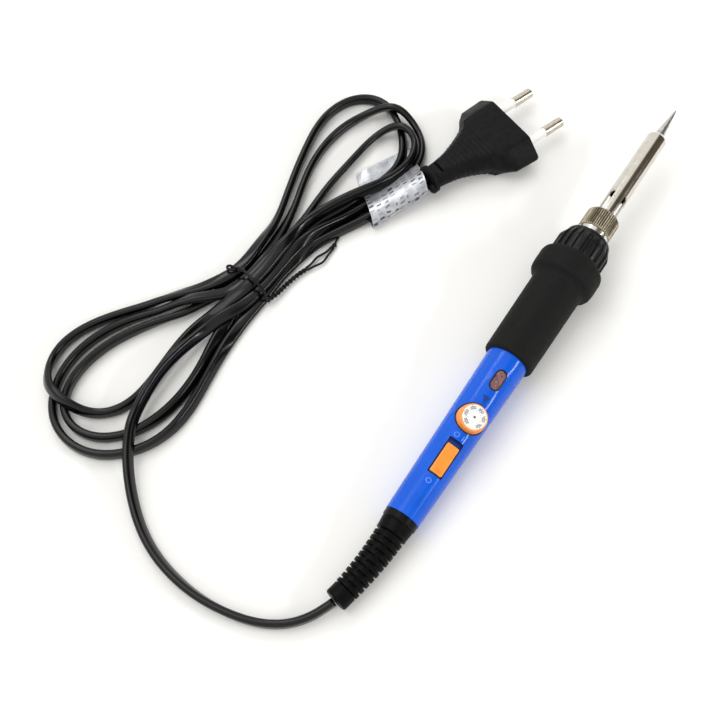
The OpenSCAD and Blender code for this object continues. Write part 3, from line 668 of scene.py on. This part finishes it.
TEETH, TOOTH_DEPTH = 44, 0.42
knurl_profile = ([(49.2, 5.42), (49.2, 5.6), (49.35, 5.85), (49.6, 6.1), (49.9, 6.4)]
                 + [(x, 6.4) for x in (50.1, 51.6, 53.5, 55.4, 56.9)]
                 + [(57.1, 6.4), (57.4, 6.1), (57.65, 5.85), (57.8, 5.6), (57.8, 3.77), (55.8, 3.77),
                    (55.8, 5.42)])
knurl_sides = TEETH * 8
knurl_x, knurl_r, knurl_a = revolved(knurl_profile, knurl_sides)
tooth = np.abs((knurl_a * TEETH / (2 * np.pi)) % 1 * 2 - 1) ** 1.3
knurl_r = knurl_r - TOOTH_DEPTH * tooth * np.clip((knurl_r - 5.9) / 0.5, 0, 1)
knurled = make_object("knurled_nut", in_iron(about_axis(knurl_x, knurl_r, knurl_a)),
                      grid_faces(len(knurl_profile), knurl_sides, close_rows=True),
                      surface("knurled_nickel", (0.20, 0.17, 0.12), (0.30, 0.26, 0.19),
                              (0.28, 0.40), metallic=1.0, grain=5000, worn=(0.66, 0.60, 0.48)),
                      crease=35)
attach(knurled, "sleeve_nut")
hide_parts("sleeve_nut")


# ---------------------------------------------------------------- boot

BOOT_X, BOOT_LEN, BOOT_BEND, BOOT_SIDES = -86.0, 27.8, math.radians(12), 84
BOOT_BEND_R = BOOT_LEN / BOOT_BEND
COLLAR_LEN, COLLAR_EDGE_R, BLOCK_LEN, BLOCK_R = 4.4, 5.75, 4.75, 4.25
RIBS, RIB_FIRST, RIB_PITCH, RIB_HALF, RIB_DEPTH = 10, 1.8, 2.25, 0.62, 0.9
BAR_SIDES, BAR_SPREAD, BAR_HALF = (74, 254), (-32, 0, 32), 11  # angles round the boot, in degrees


def boot_radius(s, t):
    """Ribs joined by short bars, which leave slots, between a plain collar and an end block."""
    outer = 5.3 - 1.1 * np.clip(s, 0, None) / BOOT_LEN
    nearest = np.clip(np.round((s - RIB_FIRST) / RIB_PITCH), 0, RIBS - 1)
    rib = ramp_up(-np.abs(s - RIB_FIRST - nearest * RIB_PITCH), -RIB_HALF - 0.18, -RIB_HALF)
    row = np.floor((s - RIB_FIRST) / RIB_PITCH)
    bars = np.zeros_like(s)
    for centre in BAR_SIDES:
        for spread in BAR_SPREAD:
            odd = 1.0 if spread == 0 else 0.0
            off = np.abs((np.degrees(t) - centre - spread + 180) % 360 - 180)
            bars = np.maximum(bars, ramp_up(-off, -BAR_HALF, 4 - BAR_HALF) * (row % 2 == odd))
    bars = bars * ((s > RIB_FIRST) & (s < RIB_FIRST + (RIBS - 1) * RIB_PITCH))
    body = outer - RIB_DEPTH + RIB_DEPTH * np.maximum(rib, 0.8 * bars)
    block = BLOCK_R - 0.35 * ramp_up(s, BOOT_LEN - 0.5, BOOT_LEN)
    body = body + (block - body) * ramp_up(s, BOOT_LEN - BLOCK_LEN, BOOT_LEN - BLOCK_LEN + 0.2)
    collar = (COLLAR_EDGE_R - 0.3 * ramp_up(s, -COLLAR_LEN, -0.6)
              - 0.3 * ramp_up(-s, COLLAR_LEN - 0.3, COLLAR_LEN))
    return np.where(s < -0.15, collar, collar + (body - collar) * ramp_up(s, -0.15, 0.1))


boot_stations = np.concatenate([np.linspace(-COLLAR_LEN, -0.3, 18), np.arange(-0.2, BOOT_LEN, 0.125),
                                [BOOT_LEN]])
boot_s = np.repeat(boot_stations, BOOT_SIDES)
boot_t = np.tile(full_turn(BOOT_SIDES), len(boot_stations))
boot_r = boot_radius(boot_s, boot_t)
bend = np.clip(boot_s, 0, None) / BOOT_LEN * BOOT_BEND
boot_points = np.stack([
    BOOT_X - np.where(boot_s < 0, boot_s, BOOT_BEND_R * np.sin(bend))
    - np.sin(bend) * boot_r * np.cos(boot_t),
    BOOT_BEND_R * (1 - np.cos(bend)) - np.cos(bend) * boot_r * np.cos(boot_t),
    boot_r * np.sin(boot_t)], axis=1)
faces = capped_faces(len(boot_stations), BOOT_SIDES)
boot = make_object("slotted_boot", in_iron(boot_points, roll=0), faces,
                   surface("boot_rubber", (0.0015, 0.0015, 0.0015), (0.003, 0.003, 0.003),
                           (0.34, 0.48), scale=700, specular=0.07, grain=5000), crease=40)
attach(boot, "handle")
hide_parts("strain_relief")


# ---------------------------------------------------------------- handle details

FRONT_R, FRONT_X = 7.65, -11.9


def handle_radius(x):
    return REAR_R + (FRONT_R - REAR_R) * (np.asarray(x, float) - REAR_X) / (FRONT_X - REAR_X)


def on_handle(x, y, lift):
    """Points on the handle's surface, in the iron's own frame."""
    x, y = np.asarray(x, float), np.asarray(y, float)
    return np.stack([x, y, np.sqrt(handle_radius(x) ** 2 - y ** 2) + lift], axis=-1)


def print_patch(name, stations, material):
    """A thin printed patch on the handle, from (x, y from, y to) stations."""
    sheet = np.array([on_handle(np.full(9, x), np.linspace(a, b, 9), 0.03)
                      for x, a, b in stations])
    patch = shell(name, in_iron(sheet.reshape(-1, 3)).reshape(sheet.shape), 0.05, material)
    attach(patch, "handle")


def outline(name, inner, outer, top, floor_z, material):
    """A liner between two outlines: it follows the handle's surface and has an inner wall."""
    rows = [[(x, y, floor_z) for x, y in inner],
            [tuple(on_handle(x, y, top)) for x, y in inner],
            [tuple(on_handle(x, y, top)) for x, y in outer],
            [(x, y, floor_z) for x, y in outer]]
    liner = make_object(name, in_iron([p for row in rows for p in row]),
                        grid_faces(len(rows), len(inner), close_rows=True), material, crease=30)
    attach(liner, "handle")


def stadium(at, length, width, count=48):
    """An outline with round ends, along the handle."""
    angle = full_turn(count) + np.pi / count
    shift = np.sign(np.cos(angle)) * (length - width) / 2
    return [(at + s + width / 2 * math.cos(a), width / 2 * math.sin(a))
            for a, s in zip(angle, shift)]


def box_outline(x0, x1, half, per=10):
    """A rectangle's outline, with points along its sides so that it can follow the handle."""
    side = np.linspace(0, 1, per, endpoint=False)
    return ([(x0 + (x1 - x0) * t, -half) for t in side] + [(x1, -half + 2 * half * t) for t in side]
            + [(x1 + (x0 - x1) * t, half) for t in side] + [(x0, half - 2 * half * t) for t in side])


circle = [(math.cos(a), math.sin(a)) for a in full_turn(72)]
# Near-black liners that follow the outlines of the window, the dial and the switch recess: painted
# shade of the gaps round them
gap_shade_paint = surface("painted_gap_shade", (0.004, 0.004, 0.006), (0.008, 0.008, 0.011), (0.4, 0.6),
                    scale=900, specular=0.25)
print_ink = surface("print_ink", (0.004, 0.03, 0.22), (0.006, 0.04, 0.28), (0.3, 0.45),
                    scale=900, specular=0.4)
raised_ink = surface("raised_ink", (0.06, 0.20, 0.80), (0.10, 0.28, 0.90), (0.2, 0.35),
                     scale=900, specular=0.5)
# A darker copy of the handle's blue: painted shade on the floor of the switch's recess
shaded_recess_blue = surface("shaded_recess_blue", (0.005, 0.028, 0.17), (0.007, 0.036, 0.22), (0.35, 0.5),
                      scale=700, specular=0.3)
DIAL_X, WINDOW_X, SWITCH_X = -39.1, -22.6, -56.4
outline("window_gap_shade", stadium(WINDOW_X, 7.54, 3.34), stadium(WINDOW_X, 8.5, 4.3), 0.035, 6.2,
        gap_shade_paint)
outline("dial_gap_shade", [(DIAL_X + 5.34 * c, 5.34 * s) for c, s in circle],
        [(DIAL_X + 5.66 * c, 5.66 * s) for c, s in circle], 0.03, 2.9, gap_shade_paint)

# Dark floor of the switch's recess, with a slot that the slider passes through; its darker blue is
# painted shade
slot_edge = box_outline(SWITCH_X - 2.0, SWITCH_X + 3.9, 1.3)
recess_edge = box_outline(SWITCH_X - 6.08, SWITCH_X + 7.88, 2.63)
recess_points = [(x, y, z) for line, z in ((slot_edge, 5.18), (slot_edge, 5.42),
                                           (recess_edge, 5.42), (recess_edge, 5.18))
                 for x, y in line]
recess = make_object("switch_recess", in_iron(recess_points),
                     grid_faces(4, len(slot_edge), close_rows=True), shaded_recess_blue, crease=30)
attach(recess, "handle")
# A near-black liner round the switch recess: painted shade of its gap
outline("switch_gap_shade", box_outline(SWITCH_X - 6.1, SWITCH_X + 7.9, 2.65),
        box_outline(SWITCH_X - 6.26, SWITCH_X + 8.06, 2.81), 0.03, 5.45, gap_shade_paint)

POINTER_TIP, POINTER_END = -32.3, -29.6
print_patch("pointer_mark", [(x, -0.03 - 0.55 * (x - POINTER_TIP), 0.03 + 0.55 * (x - POINTER_TIP))
                             for x in np.linspace(POINTER_TIP, POINTER_END, 8)], print_ink)


def off_mark(name, x, y):
    """A raised ring beside the switch."""
    outline(name, [(x + 0.62 * c, y + 0.7 * s) for c, s in circle[::3]],
            [(x + 0.95 * c, y + 1.05 * s) for c, s in circle[::3]], 0.035, 6.3, raised_ink)


MARK_X = -46.75
off_mark("switch_mark_0", MARK_X, 1.3)
print_patch("switch_mark_bar", [(MARK_X - 0.95, -1.4, -1.0), (MARK_X + 0.95, -1.4, -1.0)],
            raised_ink)
off_mark("switch_mark_2", -65.2, 0.6)


# ---------------------------------------------------------------- dial print

SEGMENTS = {"a": ((0, 1), (1, 1)), "b": ((1, 1), (1, 0.5)), "c": ((1, 0.5), (1, 0)),
            "d": ((0, 0), (1, 0)), "e": ((0, 0), (0, 0.5)), "f": ((0, 0.5), (0, 1)),
            "g": ((0, 0.5), (1, 0.5))}
DIGITS = {"0": "abcdef", "2": "abged", "3": "abgcd", "4": "fgbc", "5": "afgcd"}
DIAL_TOP, STROKE = 9.4, 0.15
DIAL_START, DIAL_SWEEP = 150, 270  # angle of the first number, and from it round to the last
DIGIT_R, DIGIT_TALL, DIGIT_WIDE, DIGIT_PITCH = 2.75, 0.82, 0.46, 0.72
NUMBERS = ("200", "250", "300", "350", "400", "450")
TICKS = 11


def bar(start, end, width):
    """The four corners of a stroke from start to end."""
    start, end = np.array(start, float), np.array(end, float)
    ahead = (end - start) / np.linalg.norm(end - start)
    side = np.array([-ahead[1], ahead[0]]) * width / 2
    start, end = start - ahead * width / 2, end + ahead * width / 2
    return [start + side, start - side, end - side, end + side]


def dial_ways(index, count):
    """Directions outwards and to the right at one of the marks spread round the dial."""
    turn = math.radians(DIAL_START - DIAL_SWEEP / (count - 1) * index)
    return np.array([math.cos(turn), math.sin(turn)]), np.array([math.sin(turn), -math.cos(turn)])


strokes = []
for index, number in enumerate(NUMBERS):
    out, right = dial_ways(index, len(NUMBERS))
    for place, digit in enumerate(number):
        for key in DIGITS[digit]:
            ends = [out * (DIGIT_R + DIGIT_TALL * v)
                    + right * ((place - 1) * DIGIT_PITCH + (u - 0.5) * DIGIT_WIDE)
                    for u, v in SEGMENTS[key]]
            strokes.append(bar(*ends, STROKE))
    strokes.append(bar(out * 3.82, out * 4.15, 0.16))
for index in range(TICKS):
    out, _ = dial_ways(index, TICKS)
    strokes.append(bar(out * 2.2, out * 2.4, 0.1))
verts, faces = [], []
for corners in strokes:
    faces += capped_faces(2, 4, start=len(verts))
    verts += [(DIAL_X + p[0], p[1], z) for z in (DIAL_TOP + 0.004, DIAL_TOP + 0.03) for p in corners]
hub = [(0.42, 0.004), (0.40, 0.06), (0.2, 0.1)]
faces += capped_faces(len(hub), len(circle[::3]), start=len(verts))
verts += [(DIAL_X + r * c, r * s, DIAL_TOP + rise) for r, rise in hub for c, s in circle[::3]]
dial_ink = surface("dial_ink", (0.05, 0.05, 0.06), (0.10, 0.10, 0.11), (0.35, 0.5), scale=2500)
dial_print = make_object("dial_print", in_iron(verts), faces, dial_ink, crease=30)
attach(dial_print, "dial")


# ---------------------------------------------------------------- switch button

orange = surface("orange_plastic", (0.88, 0.25, 0.022), (0.96, 0.30, 0.03), (0.32, 0.42), scale=260,
                 specular=0.4, grain=5000, worn=(1.0, 0.42, 0.14))


def rounded_rect(half_x, half_y, radius, per=6):
    """An outline with rounded corners, as points from the first quarter on."""
    points = []
    for cx, cy, start in ((1, 1, 0), (-1, 1, 90), (-1, -1, 180), (1, -1, 270)):
        for a in np.radians(np.linspace(start, start + 90, per)):
            points.append((cx * (half_x - radius) + radius * math.cos(a),
                           cy * (half_y - radius) + radius * math.sin(a)))
    return points


# Heights of the cap's rings and how far each is set in, up to its slightly hollow top
CAP_LEVELS = [(5.62, 0.0), (7.0, 0.0), (7.16, 0.04), (7.26, 0.13), (7.3, 0.26), (7.3, 0.5),
              (7.24, 0.62)]
rings = [[(SWITCH_X + x, y, z) for x, y in rounded_rect(5.68 - inset, 2.28 - inset, 0.35)]
         for z, inset in CAP_LEVELS]
faces = capped_faces(len(rings), len(rings[0]))
button = make_object("switch_cap", in_iron([p for ring in rings for p in ring]), faces, orange,
                     crease=40)
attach(button, "switch")
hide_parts("switch_button")


# ---------------------------------------------------------------- carried-over CAD nodes

ceramic = surface("ceramic", (0.78, 0.76, 0.70), (0.86, 0.84, 0.79), (0.45, 0.6), scale=1500)
component_black = surface("component_black", (0.02, 0.02, 0.022), (0.03, 0.03, 0.032), (0.4, 0.5))
pale_plastic = surface("white_plastic", (0.80, 0.80, 0.78), (0.87, 0.87, 0.85), (0.3, 0.4))
FINISHES = {
    "tip": surface("tip_steel", (0.45, 0.44, 0.42), (0.66, 0.65, 0.63), (0.22, 0.36),
                   metallic=1.0, scale=900, grain=3500, grain_strength=0.3),
    "tip_sleeve": surface("sleeve_steel", (0.62, 0.585, 0.53), (0.69, 0.655, 0.60), (0.10, 0.17),
                          metallic=1.0, scale=300, grain=2500, grain_strength=0.06),
    "threaded_collar": surface("collar_steel", (0.62, 0.59, 0.55), (0.74, 0.71, 0.67),
                               (0.14, 0.26), metallic=1.0),
    "grip": surface("grip_rubber", (0.0065, 0.0065, 0.0065), (0.0085, 0.0085, 0.0085), (0.6, 0.72),
                    scale=2200, detail=2.0, specular=0.12, grain=7000, grain_strength=0.35,
                    grain_depth=0.00003),
    "handle_shell": surface("blue_plastic", (0.003, 0.090, 0.60), (0.004, 0.102, 0.66),
                            (0.14, 0.2), scale=90, specular=0.25, grain=1500,
                            grain_strength=0.03),
    "indicator_window": surface("window_plastic", (0.10, 0.045, 0.05), (0.30, 0.16, 0.16),
                                (0.2, 0.35), scale=1400),
    "temperature_dial": orange,
    "dial_face": pale_plastic,
    "end_cap": surface("cap_plastic", (0.003, 0.003, 0.0035), (0.006, 0.006, 0.0065), (0.25, 0.35),
                       specular=0.10),
    "plug_pins": surface("pin_metal", (0.50, 0.46, 0.38), (0.64, 0.60, 0.52), (0.2, 0.32),
                         metallic=1.0),
    "pin_sleeves": surface("pin_sleeve", (0.86, 0.86, 0.84), (0.90, 0.90, 0.88), (0.35, 0.45)),
    "heater_core": ceramic,
    "heater_bush": ceramic,
    "potentiometer": surface("pot_green", (0.03, 0.06, 0.045), (0.045, 0.08, 0.06), (0.4, 0.5)),
    "potentiometer_shaft": pale_plastic,
    "switch_body": surface("switch_can", (0.50, 0.50, 0.51), (0.62, 0.62, 0.63), (0.3, 0.4),
                           metallic=1.0),
    "switch_slider": component_black,
    "circuit_board": surface("board_green", (0.008, 0.09, 0.03), (0.015, 0.13, 0.045),
                             (0.25, 0.4), scale=1500),
    "triac": component_black,
    "capacitor": surface("capacitor_red", (0.45, 0.07, 0.03), (0.55, 0.10, 0.04), (0.3, 0.4)),
    "resistors": surface("resistor_tan", (0.48, 0.36, 0.22), (0.58, 0.44, 0.28), (0.4, 0.5)),
    "heater_wires": surface("wire_red", (0.62, 0.02, 0.012), (0.72, 0.03, 0.02), (0.35, 0.45)),
    "mains_wires": surface("wire_brown", (0.08, 0.035, 0.015), (0.11, 0.05, 0.02), (0.35, 0.45)),
    "indicator_lamp": surface("lamp_glass", (0.70, 0.35, 0.20), (0.80, 0.45, 0.28), (0.08, 0.15),
                              transmission=0.6),
}
for node_name, finish in FINISHES.items():
    for material_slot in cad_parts[node_name].material_slots:
        material_slot.material = finish


# ---------------------------------------------------------------- floor and light

def soft_light(name, place, aim, size, power, size_y=None):
    """A round light panel, or a rectangular one where size_y is given, in metres and watts."""
    data = bpy.data.lights.new(name, "AREA")
    data.shape = "RECTANGLE" if size_y else "DISK"
    data.size = size
    if size_y:
        data.size_y = size_y
    data.energy = power
    light = bpy.data.objects.new(name, data)
    light.location = place
    light.rotation_euler = (Vector(aim) - Vector(place)).to_track_quat("-Z", "Y").to_euler()
    scene.collection.objects.link(light)


FLOOR_HALF = 3000
floor_corners = [(x * FLOOR_HALF, y * FLOOR_HALF, 0) for x, y in ((-1, -1), (1, -1), (1, 1), (-1, 1))]
floor = make_object("floor", floor_corners, [(0, 1, 2, 3)],
                    surface("floor_paper", (0.88, 0.88, 0.87), (0.90, 0.90, 0.885), (0.7, 0.8),
                            scale=8, specular=0.15))

scene.view_settings.view_transform = "Standard"

# A white room with one dark panel, which the bright metal reflects as a dark band
PANEL_WAY = (0.63, -0.58, 0.52)
world = bpy.data.worlds.new("studio")
scene.world = world
world.use_nodes = True
tree = world.node_tree
facing = tree.nodes.new("ShaderNodeTexCoord")
towards = tree.nodes.new("ShaderNodeVectorMath")
towards.operation = "DOT_PRODUCT"
tree.links.new(facing.outputs["Generated"], towards.inputs[0])
towards.inputs[1].default_value = PANEL_WAY
shade = tree.nodes.new("ShaderNodeValToRGB")
stops = shade.color_ramp.elements
stops[0].position = 0.77
stops[0].color = (1.0, 0.99, 0.965, 1)
stops[1].position = 0.885
stops[1].color = (0.10, 0.085, 0.065, 1)
stops.new(0.84).color = (0.34, 0.32, 0.28, 1)
tree.links.new(towards.outputs["Value"], shade.inputs["Fac"])
background = tree.nodes["Background"]
tree.links.new(shade.outputs["Color"], background.inputs["Color"])
background.inputs["Strength"].default_value = 1.05
soft_light("key", (-0.22, 0.50, 1.10), (0, 0.05, 0), 0.8, 3.4)
soft_light("strip", (0.34, -0.82, 0.52), (-0.03, 0, 0.01), 0.36, 3.0, size_y=0.08)
soft_light("sheen", (0.44, 0.60, 0.86), (-0.03, 0.09, 0.0), 0.34, 1.3)
